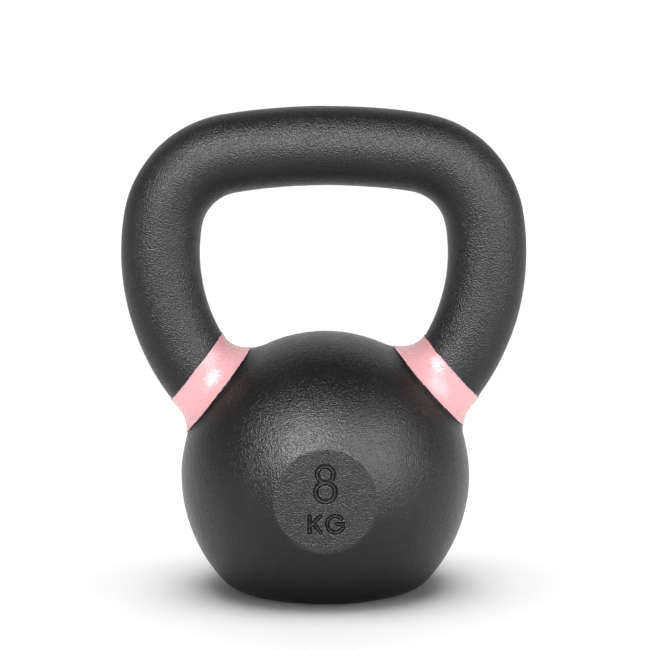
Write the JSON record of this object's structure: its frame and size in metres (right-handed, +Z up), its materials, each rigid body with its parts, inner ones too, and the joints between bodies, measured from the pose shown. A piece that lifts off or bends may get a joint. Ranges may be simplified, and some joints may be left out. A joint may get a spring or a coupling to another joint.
{
  "type": "kettlebell",
  "caption": "Cast-iron kettlebell with a flat base, a wide U-shaped handle, a round front flat with a recessed weight mark, and pink colour bands at the handle roots.",
  "frame": {"origin": "centre of the flat base, on the floor", "axes": "+Z up through the ball and the handle, -Y out of the marked front flat, +X to the right seen from the front, along the handle"},
  "size_m": [0.1662, 0.1155, 0.1983],
  "materials": {
    "ball_iron": "satin black powder coat with a fine grain",
    "handle_iron": "satin black powder coat with a fine grain",
    "band": "satin pink"
  },
  "bodies": {
    "root": {"ball": "ball_iron", "handle": "handle_iron", "left_colour_band": "band", "right_colour_band": "band"}
  },
  "joints": []
}
